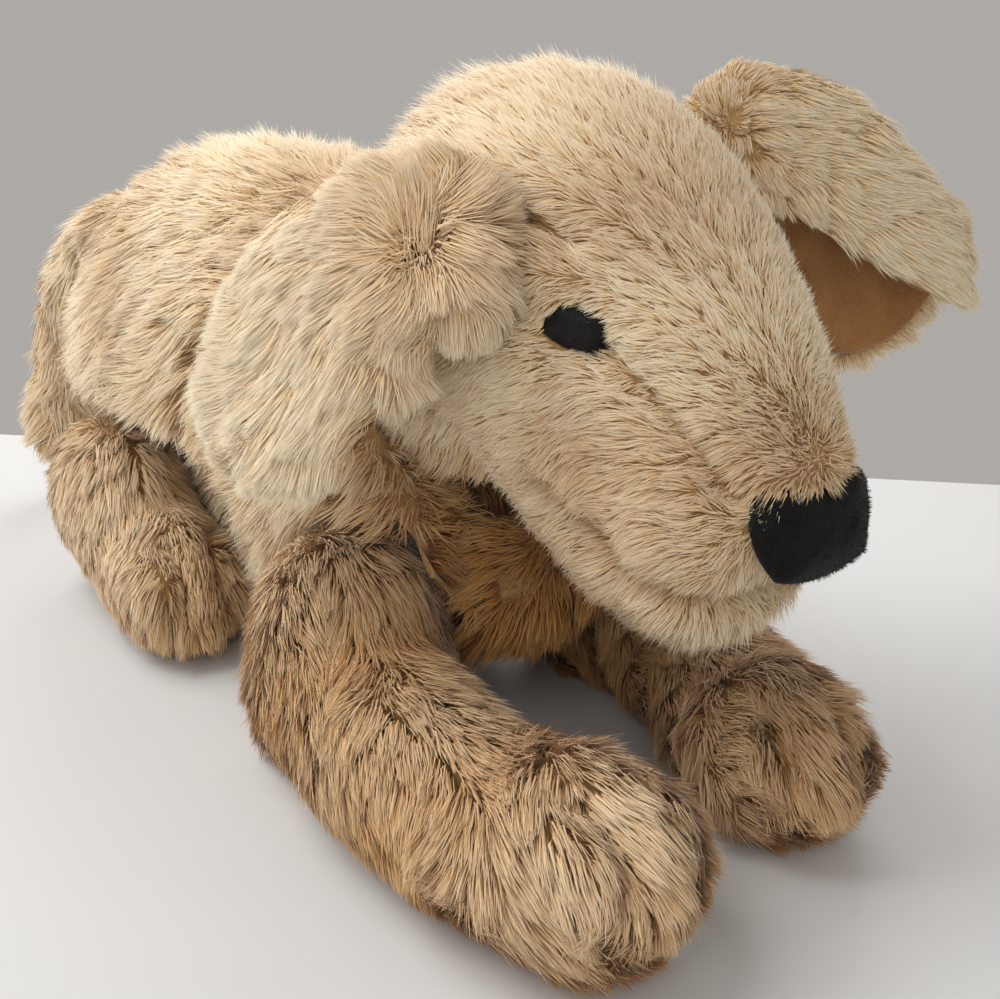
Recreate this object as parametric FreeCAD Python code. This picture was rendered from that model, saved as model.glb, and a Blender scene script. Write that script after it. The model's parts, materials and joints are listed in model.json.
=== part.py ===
# A plush dog lying down: sewn pile-fabric panels over stuffing, with pellet bags for weight.
# Millimetres. +Z is up, the dog faces -Y, and its left side is +X.
# The origin is on the flat underside, in the middle of the belly.
import FreeCAD
import Part
import math
import os

Vector = FreeCAD.Vector

# Fabric, clearances and small trim
PILE = 8.0                 # backing cloth and the pressed pile above it
FILL_GAP = 0.3             # between a cover and what fills it
MOVE_GAP = 0.6             # between two bodies that turn against each other
SEAM_GAP = 0.1             # between two panels that are sewn edge to edge
THREAD = 1.6               # doubled sewing thread
LINING = 2.5               # short-pile cloth inside the ears

# Where the shoulder line lies from the origin
SHOULDER_AHEAD = 50.0
SHOULDER_SIDE = 9.0

# Torso: stations behind and ahead of the shoulder line
TORSO_TOP = 156.0
TORSO_WIDTH = 122.0
RUMP_BEHIND = 128.0
RUMP_ROUND = 34.0
CHEST_AHEAD = 44.0
CHEST_ROUND = 22.0
BODY_SWING = 17.0          # how far the rump lies to the dog's right of the chest
BELLY_LINE = 14.0          # height of the seam round the belly panel
BAG_BEHIND = 66.0          # middle and half sizes of the belly's pellet bag
BAG_HEIGHT = 29.0
BAG_SIZE = (13.0, 30.0, 12.0)

# Neck ball and the two faces cut either side of it
NECK_RADIUS = 39.0
NECK_AHEAD = 25.0
NECK_HEIGHT = 112.0
NECK_LEAN = 36.0           # degrees that the neck leans up from straight ahead
NECK_FACE = 7.0            # each face's distance from the ball's centre

# Head
HEAD_WIDTH = 100.0
HEAD_TOP = 187.0
MUZZLE_END = 128.0
MUZZLE_WIDTH = 60.0
MUZZLE_ROUND = 15.0
HEAD_SIDE = 5.0            # the head's middle lies a little to the dog's left
GUSSET_WIDTH = 34.0
GUSSET_EDGE = 128.0        # height of the gusset's lower edge above the shoulder line
CHIN_LENGTH = 90.0
CHIN_TOP = 74.0            # height of the seam along the jaw
MOUTH_HEIGHT = 78.0
EYE_LENGTH = 15.0
EYE_WIDTH = 11.0
EYE_RISE = 4.5
SHANK_RADIUS = 2.5
WASHER_RADIUS = 7.0
WASHER_THICK = 1.6
NOSE_WIDTH = 30.0
NOSE_HEIGHT = 23.0
NOSE_THICK = 3.0

# Ears
EAR_SEAM_IN = 2.0          # how far inside the head's widest line the ears are sewn
EAR_SEAM_AHEAD = 60.0
EAR_SEAM_BELOW = 34.0      # below the top of the head
EAR_LENGTH = 92.0
EAR_WIDTH = 78.0
EAR_THICK = 8.0
EAR_ROOT_RADIUS = 7.0
EAR_ROOT_LENGTH = 40.0

# Forelegs
FORE_PATTERN_REACH = 142.0 # the reach and height that the limb's route is drawn for
FORE_PATTERN_HEIGHT = 48.0
FORE_START = 30.0          # where the limb leaves its root, and the middle of its paw
PAW_MIDDLE = 126.0
FORE_REACH = 142.0
FORE_WIDTH = 52.0
FORE_HEIGHT = 48.0
SHOULDER_OUT = 50.0
SHOULDER_RADIUS = 29.0
SHOULDER_HEIGHT = 70.0

# Hind legs
HIP_BEHIND = 106.0
HIP_HEIGHT = 36.0
THIGH_RADIUS = 33.0
HIND_WIDTH = 42.0
HIND_HEIGHT = 42.0
HIND_REACH = 66.0
LOIN_WIDTH = 54.0          # torso left between the two hind legs
ALCOVE_TOP = 74.0

# Tail
TAIL_ROOT_RADIUS = 17.0
TAIL_TIP_RADIUS = 13.0
TAIL_SLEEVE = 1.0          # how far behind its root the tail has room to swing
TAIL_ROOM = 7.0
TAIL_BEHIND = 153.0
TAIL_HEIGHT = 112.0

BIG = 600.0


def at(side, ahead, height):
    """A point given from the middle of the shoulder line, on the ground."""
    return Vector(side + SHOULDER_SIDE, -(ahead + SHOULDER_AHEAD), height)


def spine_side(ahead):
    """The torso's middle line: it swings to the dog's right towards the rump."""
    share = max(0.0, (CHEST_AHEAD - ahead) / (CHEST_AHEAD + RUMP_BEHIND))
    return -BODY_SWING * share ** 1.3


def ring(centre, across, upward, half_width, half_height, points=12):
    """A closed smooth wire around a centre."""
    spots = []
    for index in range(points):
        turn = 2 * math.pi * index / points
        spots.append(centre + across * (half_width * math.cos(turn))
                     + upward * (half_height * math.sin(turn)))
    curve = Part.BSplineCurve()
    curve.interpolate(Points=spots, PeriodicFlag=True)
    return Part.Wire([curve.toShape()])


def tube(stations, inset=0.0, dome_start=0.0, dome_end=0.0):
    """A rounded solid through stations of (point, half width, half height)."""
    rings = []
    last = len(stations) - 1
    across = Vector(0, 0, 1).cross(stations[1][0] - stations[0][0])
    for index, (point, half_width, half_height) in enumerate(stations):
        before = stations[max(index - 1, 0)][0]
        after = stations[min(index + 1, last)][0]
        along = (after - before).normalize()
        across = (across - along * across.dot(along)).normalize()
        upward = along.cross(across).normalize()
        wide = half_width - inset
        high = half_height - inset
        ends = []
        if index == 0 and dome_start > inset:
            ends = [(-(dome_start - inset), step) for step in (78, 55, 28)]
        if index == last and dome_end > inset:
            ends = [(dome_end - inset, step) for step in (28, 55, 78)]
        capped = []
        for reach, degrees in ends:
            lean = math.radians(degrees)
            capped.append(ring(point + along * (reach * math.sin(lean)), across, upward,
                               wide * math.cos(lean), high * math.cos(lean)))
        own = [ring(point, across, upward, wide, high)]
        rings += capped + own if index == 0 else own + capped
    return Part.makeLoft(rings, True, False)


def above(shape, height):
    """The part of a shape that lies above a level."""
    return shape.common(Part.makeBox(BIG, BIG, BIG, Vector(-BIG / 2, -BIG / 2, height)))


def slab(point, normal, thick):
    """A very wide plate that starts at a point and grows along a normal."""
    plate = Part.makeBox(BIG, BIG, thick, Vector(-BIG / 2, -BIG / 2, 0))
    turn = FreeCAD.Rotation(Vector(0, 0, 1), normal)
    plate.Placement = FreeCAD.Placement(point, turn)
    return plate


def ellipsoid(centre, half_x, half_y, half_z):
    """A rounded bag shape."""
    ball = Part.makeSphere(1.0)
    matrix = FreeCAD.Matrix()
    matrix.scale(half_x, half_y, half_z)
    bag = ball.transformGeometry(matrix)
    bag.translate(centre)
    return bag


def largest(shape):
    """The main solid of a cut, without crumbs."""
    return max(shape.Solids, key=lambda solid: solid.Volume)


def save(name, shape):
    """Write one node."""
    shape.exportStep(os.path.join("parts", name + ".step"))
    print(name, len(shape.Solids), round(shape.Volume / 1000, 1), "cm3", shape.isValid())


# ---------------------------------------------------------------- shared shapes

NECK_CENTRE = at(HEAD_SIDE / 2, NECK_AHEAD, NECK_HEIGHT)
NECK_AXIS = Vector(0, -math.cos(math.radians(NECK_LEAN)), math.sin(math.radians(NECK_LEAN)))


def torso_body(inset):
    """The torso's outer shape, or the same drawn in by an inset."""
    rows = [
        (CHEST_AHEAD, 0.38, 62.0, 42.0),
        (10.0, 0.42, 68.0, 66.0),
        (-30.0, 0.47, 74.0, 78.0),
        (-70.0, 0.50, TORSO_TOP - 80.0, 80.0),
        (-105.0, 0.49, TORSO_TOP - 83.0, 77.0),
        (-RUMP_BEHIND, 0.42, 66.0, 62.0),
    ]
    stations = []
    for ahead, share, middle, half_height in rows:
        stations.append((at(spine_side(ahead), ahead, middle), share * TORSO_WIDTH, half_height))
    shape = tube(stations, inset, CHEST_ROUND, RUMP_ROUND)
    return above(shape, inset)


def neck_ball(grow):
    return Part.makeSphere(NECK_RADIUS + grow, NECK_CENTRE)


def shoulder_drum(side, grow):
    """A round root that turns about an upright axis."""
    radius = SHOULDER_RADIUS + grow
    top = SHOULDER_HEIGHT + grow
    base = max(0.0, -grow)
    centre = at(side * SHOULDER_OUT, 22.0, 0.0)
    low = centre + Vector(0.86 * radius, 0, base)
    middle = centre + Vector(radius, 0, 0.36 * top)
    upper = centre + Vector(0.80 * radius, 0, 0.78 * top)
    crown = centre + Vector(0, 0, top)
    curve = Part.BSplineCurve()
    curve.interpolate(Points=[low, middle, upper, crown],
                      InitialTangent=Vector(6, 0, 20), FinalTangent=Vector(-60, 0, 0))
    foot = centre + Vector(0, 0, base)
    wire = Part.Wire([curve.toShape(), Part.makeLine(crown, foot), Part.makeLine(foot, low)])
    return Part.Face(wire).revolve(centre, Vector(0, 0, 1), 360)


def foreleg_limb(side, inset):
    """The forearm and paw."""
    if side < 0:
        route = [(-52.0, 30.0, 26.0), (-60.0, 62.0, 24.0), (-56.0, 96.0, 23.0), (-46.0, 126.0, 23.0)]
    else:
        route = [(50.0, 30.0, 23.0), (45.0, 60.0, 21.0), (35.0, 92.0, 20.0), (24.0, 119.0, 20.0)]
    stations = []
    for (out, ahead, high), share in zip(route, (0.50, 0.48, 0.50, 0.52)):
        high *= FORE_HEIGHT / FORE_PATTERN_HEIGHT
        reach = ahead + (FORE_REACH - FORE_PATTERN_REACH) * (ahead - FORE_START) / (PAW_MIDDLE - FORE_START)
        stations.append((at(out, reach, high), share * FORE_WIDTH, high + 1.0))
    return above(tube(stations, inset, 0.0, 20.0), max(inset, 0.0))


def foreleg_body(side, inset):
    """A foreleg from its round root to the paw."""
    drum = above(shoulder_drum(side, -inset), inset)
    return foreleg_limb(side, inset).fuse(drum).removeSplitter()


def hip_middle(side):
    return spine_side(-HIP_BEHIND) + side * (LOIN_WIDTH / 2 + MOVE_GAP + HIND_WIDTH / 2)


def hindleg_body(side, inset):
    """A thigh beside the loin and the foot ahead of it, down to the ground."""
    middle = hip_middle(side)
    rows = [
        (-HIP_BEHIND - 6.0, HIP_HEIGHT - 1.0, THIGH_RADIUS - 1.0),
        (-HIP_BEHIND + 12.0, HIP_HEIGHT - 3.0, THIGH_RADIUS - 1.0),
        (-HIP_BEHIND + 0.45 * HIND_REACH, HIND_HEIGHT / 2, HIND_HEIGHT / 2 + 2.0),
        (-HIP_BEHIND + 0.75 * HIND_REACH, HIND_HEIGHT / 2 - 1.0, HIND_HEIGHT / 2 + 1.0),
    ]
    stations = []
    for ahead, high, half_height in rows:
        stations.append((at(middle, ahead, high), HIND_WIDTH / 2, half_height))
    return above(tube(stations, inset, 24.0, 0.25 * HIND_REACH), max(inset, 0.0))


def hind_alcove(side, wall):
    """The room beside the loin where a hind leg sits and swings."""
    loin = spine_side(-HIP_BEHIND) + side * (LOIN_WIDTH / 2 - wall)
    deep = 120.0
    start = loin if side > 0 else loin - deep
    long = THIGH_RADIUS + HIND_REACH + 28.0 + 2 * wall
    corner = at(start, -HIP_BEHIND + HIND_REACH + 22.0 + wall, -1.0)
    room = Part.makeBox(deep, long, ALCOVE_TOP + wall + 1.0, corner)
    edges = [edge for edge in room.Edges if edge.BoundBox.ZMin > 1.0 and edge.BoundBox.XLength > 50]
    return room.makeFillet(30.0, edges)


def head_body(inset):
    """The head from the nape to the muzzle's end."""
    rows = [
        (14.0, HEAD_TOP - 53.0, 0.43 * HEAD_WIDTH, 47.0),
        (42.0, HEAD_TOP - 50.0, 0.50 * HEAD_WIDTH, 50.0),
        (70.0, HEAD_TOP - 66.0, 0.43 * HEAD_WIDTH, 47.0),
        (94.0, HEAD_TOP - 88.0, 0.57 * MUZZLE_WIDTH, 44.0),
        (MUZZLE_END - MUZZLE_ROUND, HEAD_TOP - 97.0, 0.50 * MUZZLE_WIDTH, 35.0),
    ]
    stations = []
    for ahead, middle, half_width, half_height in rows:
        stations.append((at(HEAD_SIDE, ahead, middle), half_width, half_height))
    return tube(stations, inset, 20.0, MUZZLE_ROUND)


def head_half_space():
    return slab(NECK_CENTRE + NECK_AXIS * NECK_FACE, NECK_AXIS, BIG)


def torso_half_space(inset):
    return slab(NECK_CENTRE - NECK_AXIS * (NECK_FACE + inset), NECK_AXIS * -1, BIG)


# ---------------------------------------------------------------- torso

def pockets(shape, wall):
    """Clear the torso for the neck, the four legs and the tail."""
    shape = shape.common(torso_half_space(wall))
    shape = shape.cut(neck_ball(MOVE_GAP + wall))
    for side in (-1, 1):
        shape = shape.cut(shoulder_drum(side, MOVE_GAP + wall))
        shape = shape.cut(foreleg_limb(side, -MOVE_GAP - wall))
        shape = shape.cut(hind_alcove(side, wall))
    shape = shape.cut(Part.makeSphere(TAIL_ROOT_RADIUS + MOVE_GAP + wall, TAIL_ROOT))
    behind = TAIL_ROOT + Vector(0, TAIL_SLEEVE, 0)
    room = TAIL_ROOT_RADIUS + TAIL_ROOM + wall
    shape = shape.cut(Part.makeCylinder(room, 60.0, behind, Vector(0, 1, -0.15)))
    return largest(shape)


def torso_nodes():
    outer = pockets(torso_body(0.0), 0.0)
    inner = pockets(torso_body(PILE), PILE)
    shell = outer.cut(inner)
    belly = largest(shell.cut(above(shell, BELLY_LINE)))
    upper = above(shell, BELLY_LINE + SEAM_GAP)
    start = at(spine_side(CHEST_AHEAD), CHEST_AHEAD, 0.0)
    end = at(spine_side(-RUMP_BEHIND), -RUMP_BEHIND, 0.0)
    across = Vector(0, 0, 1).cross(start - end).normalize()
    left_way = across if across.x > 0 else across * -1
    left_half = slab(start + left_way * SEAM_GAP / 2, left_way, BIG)
    right_half = slab(start - left_way * SEAM_GAP / 2, left_way * -1, BIG)
    save("torso_side_panel_left", largest(upper.common(left_half)))
    save("torso_side_panel_right", largest(upper.common(right_half)))
    save("belly_panel", belly)
    fill = pockets(torso_body(PILE + FILL_GAP), PILE + FILL_GAP)
    bag_centre = at(spine_side(-HIP_BEHIND), -BAG_BEHIND, BAG_HEIGHT)
    room = ellipsoid(bag_centre, *[size + FILL_GAP for size in BAG_SIZE])
    save("torso_stuffing", largest(fill.cut(room)))
    save("torso_pellet_bag", ellipsoid(bag_centre, *BAG_SIZE))


def neck_nodes():
    core = Part.makeSphere(NECK_RADIUS - PILE - FILL_GAP, NECK_CENTRE)
    save("neck_cover", neck_ball(0.0).cut(Part.makeSphere(NECK_RADIUS - PILE, NECK_CENTRE)))
    save("neck_stuffing", core)


# ---------------------------------------------------------------- tail

TAIL_ROOT = at(spine_side(-TAIL_BEHIND) - 2.0, -TAIL_BEHIND, TAIL_HEIGHT)
TAIL_ROUTE = [(0.0, 0.0, 0.0), (-2.0, -12.0, 0.0), (-6.0, -25.0, -4.0), (-11.0, -37.0, -15.0),
              (-16.0, -45.0, -32.0), (-20.0, -48.0, -56.0), (-27.0, -46.0, -84.0)]


def tail_body(inset):
    stations = []
    last = len(TAIL_ROUTE) - 1
    for index, (side, ahead, rise) in enumerate(TAIL_ROUTE):
        radius = TAIL_ROOT_RADIUS + (TAIL_TIP_RADIUS - TAIL_ROOT_RADIUS) * index / last - 0.5
        stations.append((TAIL_ROOT + Vector(side, -ahead, rise), radius, radius))
    return tube(stations, inset, TAIL_ROOT_RADIUS - 1.0, TAIL_TIP_RADIUS)


def tail_nodes():
    save("tail_cover", largest(tail_body(0.0).cut(tail_body(PILE * 0.7))))
    save("tail_stuffing", largest(tail_body(PILE * 0.7 + FILL_GAP)))


# ---------------------------------------------------------------- legs

def toe_lines(limb, tip, way, spread):
    """Sewn lines that gather a paw into toes."""
    across = Vector(0, 0, 1).cross(way).normalize()
    lines = []
    band = limb(-THREAD / 2 - FILL_GAP).cut(limb(-FILL_GAP))
    for place in (-spread, spread):
        cutter = Part.makeBox(THREAD, 26.0, 30.0, Vector(-THREAD / 2, -13.0, 0.0))
        turn = FreeCAD.Rotation(Vector(0, 0, 1), math.degrees(math.atan2(way.y, way.x)) - 90.0)
        cutter.Placement = FreeCAD.Placement(tip + across * place, turn)
        lines += band.common(cutter).Solids
    return Part.makeCompound(lines)


def leg_nodes(name, body, limb, line_point, line_way, bag, bag_size, toes):
    outer = body(0.0)
    shell = outer.cut(body(PILE))
    side_way = Vector(0, 0, 1).cross(line_way).normalize()
    if side_way.x * (1 if "left" in name else -1) < 0:
        side_way = side_way * -1
    outer_half = slab(line_point + side_way * SEAM_GAP / 2, side_way, BIG)
    inner_half = slab(line_point - side_way * SEAM_GAP / 2, side_way * -1, BIG)
    save(name.replace("leg", "leg_outer_panel"), largest(shell.common(outer_half)))
    save(name.replace("leg", "leg_inner_panel"), largest(shell.common(inner_half)))
    fill = body(PILE + FILL_GAP)
    room = ellipsoid(bag, *[size + FILL_GAP for size in bag_size])
    save(name.replace("leg", "leg_stuffing"), largest(fill.cut(room)))
    save(name.replace("leg", "leg_pellet_bag"), ellipsoid(bag, *bag_size))
    save(name.replace("leg", "leg_toe_stitches"), toe_lines(limb, *toes))


def foreleg_nodes():
    for side, word in ((-1, "right"), (1, "left")):
        root = at(side * SHOULDER_OUT, 22.0, 0.0)
        tip = at(-46.0, 126.0, 20.0) if side < 0 else at(24.0, 119.0, 20.0)
        way = Vector(tip.x - root.x, tip.y - root.y, 0).normalize()
        bag = tip - way * 12.0 + Vector(0, 0, 3.0)
        toes = (tip + way * 4.0, way, 9.0)
        leg_nodes("foreleg_" + word, lambda inset: foreleg_body(side, inset),
                  lambda inset: foreleg_limb(side, inset), root, way, bag, (10.0, 12.0, 8.0), toes)


def hindleg_nodes():
    for side, word in ((-1, "right"), (1, "left")):
        middle = hip_middle(side)
        root = at(middle, -HIP_BEHIND, 0.0)
        tip = at(middle - side * 1.6, -HIP_BEHIND + 0.8 * HIND_REACH, 18.0)
        way = Vector(0, -1, 0)
        bag = tip + Vector(0, 14.0, 2.0)
        toes = (tip + way * 2.0, way, 7.5)
        leg_nodes("hindleg_" + word, lambda inset: hindleg_body(side, inset),
                  lambda inset: hindleg_body(side, inset), root, way, bag, (7.0, 10.0, 7.0), toes)


# ---------------------------------------------------------------- ears

def ear_frame(side):
    """Hinge middle, hinge way (down the seam), and the way the flap points."""
    hinge = at(HEAD_SIDE + side * (HEAD_WIDTH / 2 - EAR_SEAM_IN), EAR_SEAM_AHEAD, HEAD_TOP - EAR_SEAM_BELOW)
    down = Vector(side * 0.17, -0.42, -0.89).normalize()
    flap = Vector(-0.30, 0.92, -0.25) if side < 0 else Vector(0.88, 0.30, 0.14)
    flap = (flap - down * flap.dot(down)).normalize()
    return hinge, down, flap


def ear_flap(side, low, thick):
    """A flat flap between two levels along its own normal."""
    hinge, down, flap = ear_frame(side)
    face = flap.cross(down)
    start = EAR_ROOT_RADIUS + MOVE_GAP
    outline = [(start, -18.0), (0.30, -0.30), (0.62, -0.27), (0.90, 0.02), (1.0, 0.32),
               (0.86, 0.60), (0.58, 0.70), (0.28, 0.52), (start, 20.0)]
    lift = 0.12 if side < 0 else 0.05
    breadth = EAR_WIDTH if side < 0 else 0.76 * EAR_WIDTH
    spots = []
    for along, across in outline:
        if along > 1.0:
            spots.append(hinge + flap * along + down * across)
            continue
        across += lift * along
        spots.append(hinge + flap * (along * EAR_LENGTH) + down * (across * breadth))
    curve = Part.BSplineCurve()
    curve.interpolate(Points=spots)
    wire = Part.Wire([curve.toShape(), Part.makeLine(spots[-1], spots[0])])
    plate = Part.Face(wire).extrude(face * thick)
    plate.translate(face * low)
    return plate


def ear_root(side, radius):
    hinge, down, _ = ear_frame(side)
    long = EAR_ROOT_LENGTH + 2 * (radius - EAR_ROOT_RADIUS)
    return Part.makeCylinder(radius, long, hinge - down * (long / 2), down)


def ear_nodes():
    for side, word in ((-1, "right"), (1, "left")):
        hinge, down, flap = ear_frame(side)
        face = flap.cross(down)
        outer = ear_flap(side, LINING, EAR_THICK)
        neck = Part.makeBox(EAR_ROOT_LENGTH - 2.0, EAR_ROOT_RADIUS + 6.0, 6.0,
                            Vector(-EAR_ROOT_LENGTH / 2 + 1.0, 0, 0))
        matrix = FreeCAD.Matrix(down.x, flap.x, face.x, hinge.x, down.y, flap.y, face.y, hinge.y,
                                down.z, flap.z, face.z, hinge.z, 0, 0, 0, 1)
        neck = neck.transformGeometry(matrix)
        root = ear_root(side, EAR_ROOT_RADIUS)
        lining = ear_flap(side, 0.0, LINING - FILL_GAP)
        save("ear_lining_" + word, largest(lining.cut(root).cut(neck)))
        save("ear_outer_" + word, largest(outer.fuse(root).fuse(neck).cut(lining)))


# ---------------------------------------------------------------- head

def eye_place(side):
    """Middle of an eye on the head's surface, and the way it looks."""
    centre = at(HEAD_SIDE, 66.0, 128.0)
    way = Vector(side * 0.86, -0.48, 0.18).normalize()
    ray = Part.makeLine(centre, centre + way * 90.0)
    hits = head_body(0.0).Shells[0].common(ray)
    spot = hits.Vertexes[0].Point if hits.Vertexes else head_body(0.0).common(ray).Vertexes[-1].Point
    return spot, way


def eye_solids(side, grow):
    spot, way = eye_place(side)
    dome = ellipsoid(Vector(0, 0, 0), EYE_LENGTH / 2 + grow, EYE_WIDTH / 2 + grow, EYE_RISE + grow)
    dome = dome.common(Part.makeBox(60, 60, 60, Vector(-30, -30, -grow)))
    shank = Part.makeCylinder(SHANK_RADIUS + grow, PILE + 9.0, Vector(0, 0, -PILE - 9.0))
    washer = Part.makeCylinder(WASHER_RADIUS + grow, WASHER_THICK + 2 * grow,
                               Vector(0, 0, -PILE - 4.0 - WASHER_THICK - grow))
    turn = FreeCAD.Rotation(Vector(0, 0, 1), way)
    place = FreeCAD.Placement(spot - way * 1.0, turn)
    eye = dome.fuse(shank)
    eye.Placement = place
    washer.Placement = place
    return eye.removeSplitter(), washer


def gusset_room(grow):
    """Where the gusset lies: a band over the brow, down to the nose."""
    corner = at(HEAD_SIDE - GUSSET_WIDTH / 2 - grow, MUZZLE_END + 20.0, 0.0)
    band = Part.makeBox(GUSSET_WIDTH + 2 * grow, 260.0, 200.0, corner)
    return band.common(slab(at(0.0, 0.0, GUSSET_EDGE - grow), Vector(0, -0.31, 0.95), BIG))


def head_nodes():
    outer = head_body(0.0).common(head_half_space()).cut(neck_ball(MOVE_GAP))
    inner = head_body(PILE).common(slab(NECK_CENTRE + NECK_AXIS * (NECK_FACE + PILE), NECK_AXIS, BIG))
    inner = inner.cut(neck_ball(MOVE_GAP + PILE))
    fill = head_body(PILE + FILL_GAP)
    fill = fill.common(slab(NECK_CENTRE + NECK_AXIS * (NECK_FACE + PILE + FILL_GAP), NECK_AXIS, BIG))
    fill = fill.cut(neck_ball(MOVE_GAP + PILE + FILL_GAP))
    for side in (-1, 1):
        outer = outer.cut(ear_root(side, EAR_ROOT_RADIUS + MOVE_GAP))
        inner = inner.cut(ear_root(side, EAR_ROOT_RADIUS + MOVE_GAP + PILE))
        fill = fill.cut(ear_root(side, EAR_ROOT_RADIUS + MOVE_GAP + PILE + FILL_GAP))
    shell = largest(outer).cut(largest(inner))
    for side, word in ((-1, "right"), (1, "left")):
        eye, washer = eye_solids(side, 0.0)
        grown_eye, grown_washer = eye_solids(side, FILL_GAP)
        shell = shell.cut(grown_eye)
        fill = fill.cut(grown_eye).cut(grown_washer)
        save("eye_" + word, eye)
        save("eye_washer_" + word, washer.cut(eye_solids(side, 0.05)[0]))
    gusset = largest(shell.common(gusset_room(0.0)))
    rest = shell.cut(gusset_room(SEAM_GAP))
    corner = at(-BIG / 2, MUZZLE_END + 20.0, 0.0)
    chin = largest(rest.common(Part.makeBox(BIG, CHIN_LENGTH, CHIN_TOP, corner)))
    rest = rest.cut(Part.makeBox(BIG, CHIN_LENGTH + SEAM_GAP, CHIN_TOP + SEAM_GAP, corner))
    middle = at(HEAD_SIDE, 0.0, 0.0)
    save("head_gusset", gusset)
    for word, way in (("left", Vector(1, 0, 0)), ("right", Vector(-1, 0, 0))):
        half = slab(middle + way * SEAM_GAP / 2, way, BIG)
        save("head_side_panel_" + word, largest(rest.common(half)))
    save("chin_panel", chin)
    save("head_stuffing", largest(fill))
    trim_nodes()


def trim_nodes():
    """The nose patch and the sewn mouth line, both laid on the muzzle."""
    body = head_body(-FILL_GAP / 3)
    nose_middle = at(HEAD_SIDE + 1.0, 60.0, HEAD_TOP - 91.0)
    outline = ring(nose_middle, Vector(1, 0, 0), Vector(0, 0, 1), NOSE_WIDTH / 2, NOSE_HEIGHT / 2)
    reach = Part.Face(outline).extrude(Vector(0, -90.0, 0))
    ahead_only = slab(at(0.0, MUZZLE_END - MUZZLE_ROUND - 4.0, 0.0), Vector(0, -1, 0), BIG)
    patch = head_body(-NOSE_THICK).cut(body).common(reach).common(ahead_only)
    save("nose_patch", largest(patch))
    band = head_body(-THREAD / 2).cut(body)
    strip = Part.makeBox(BIG, 60.0, THREAD, at(-BIG / 2, MUZZLE_END + 4.0, MOUTH_HEIGHT))
    save("mouth_stitch", band.common(strip).cut(head_body(0.0)))


os.makedirs("parts", exist_ok=True)
torso_nodes()
neck_nodes()
head_nodes()
ear_nodes()
foreleg_nodes()
hindleg_nodes()
tail_nodes()
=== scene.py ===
import bpy
import json
import math
import numpy as np
from mathutils import Matrix, Vector
from mathutils.bvhtree import BVHTree


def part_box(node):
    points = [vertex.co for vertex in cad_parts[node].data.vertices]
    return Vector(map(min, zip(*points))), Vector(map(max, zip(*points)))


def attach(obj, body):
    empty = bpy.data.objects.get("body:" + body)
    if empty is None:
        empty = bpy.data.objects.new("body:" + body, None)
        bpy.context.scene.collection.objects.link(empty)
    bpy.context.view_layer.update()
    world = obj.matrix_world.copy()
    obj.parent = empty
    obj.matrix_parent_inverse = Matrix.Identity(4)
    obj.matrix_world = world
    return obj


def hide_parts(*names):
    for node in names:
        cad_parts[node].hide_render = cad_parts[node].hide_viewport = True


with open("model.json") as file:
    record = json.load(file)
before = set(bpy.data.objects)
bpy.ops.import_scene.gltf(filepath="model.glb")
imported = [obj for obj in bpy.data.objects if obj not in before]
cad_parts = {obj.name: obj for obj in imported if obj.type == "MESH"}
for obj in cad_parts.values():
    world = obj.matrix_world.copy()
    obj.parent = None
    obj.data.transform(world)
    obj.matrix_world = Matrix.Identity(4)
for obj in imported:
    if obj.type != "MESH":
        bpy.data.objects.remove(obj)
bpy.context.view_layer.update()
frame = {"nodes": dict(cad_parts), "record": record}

# ---------------------------------------------------------------- measures, in metres

MM = 0.001
SHOULDER = np.array([9.0, -50.0, 0.0]) * MM     # middle of the shoulder line, from the origin
FLOOR_SKIM = 0.4 * MM                           # pile is pressed flat this far above the floor
CLOTH_LOW = 1.2 * MM                            # the cloth's lowest place above the floor
FILLING_PRESSURE = 1.5                          # how hard the filling presses its cover out
SOFTNESS = 0.68                                 # how far a blade shades as the cover under it does
PIECE_STRANDS = 95000                           # blades in one piece, two triangles each
ROOT_DEPTH = 0.6 * MM                           # a blade starts this far under its cover
LOWER_SHARE = 0.45                              # of a blade's length, up to where it bends
BASE_TONE = 0.25                                # 0 is pale pile, 1 is deep honey
# From root to tip the pile runs dark to pale: its own colour, with painted shade deep in the pile at the root.
TIP_COLOUR = (0.97, 0.89, 0.71, 1)
PALE_COLOUR = (0.94, 0.78, 0.53, 1)
HONEY_COLOUR = (0.88, 0.62, 0.31, 1)
ROOT_COLOUR_AND_SHADE = (0.70, 0.40, 0.15, 1)

HEAD_LOW, HEAD_HIGH = (np.array(corner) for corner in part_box("head_gusset"))
HEAD_MIDDLE = (HEAD_LOW[0] + HEAD_HIGH[0]) / 2


def on_head(side, behind, below):
    """A point from the middle of the head, the front of its gusset and its top, in millimetres."""
    return np.array([HEAD_MIDDLE + side * MM, HEAD_LOW[1] + behind * MM, HEAD_HIGH[2] - below * MM])


def both_sides(points):
    """The same seam on the dog's right and left."""
    return [[on_head(sense * side, behind, below) for side, behind, below in points] for sense in (-1, 1)]


MUZZLE_SEAMS = both_sides([(34, 42, 52), (31, 35.5, 56.5), (28, 28.6, 60.7), (25.4, 21, 67), (23, 13.7, 73),
                           (20.7, 7.8, 78.5)])
BROW_SEAMS = both_sides([(42, 80, 25), (39.6, 72.6, 25.4), (35.5, 63.3, 26.3), (31.8, 53.6, 30.4)])
MOUTH = both_sides([(35.4, 57.5, 90.7), (33.6, 48.2, 95.5), (32.1, 38.8, 100), (29, 27.8, 106.5),
                    (25.3, 18.3, 108.6), (18.0, 12.3, 109.6), (8, 9.5, 110.5), (0, 8.5, 110.8)])


def spot(side, ahead, height):
    """A point from the middle of the shoulder line, in millimetres, as an array in metres."""
    return SHOULDER + np.array([side, -ahead, height]) * MM


# ---------------------------------------------------------------- small tools

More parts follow.
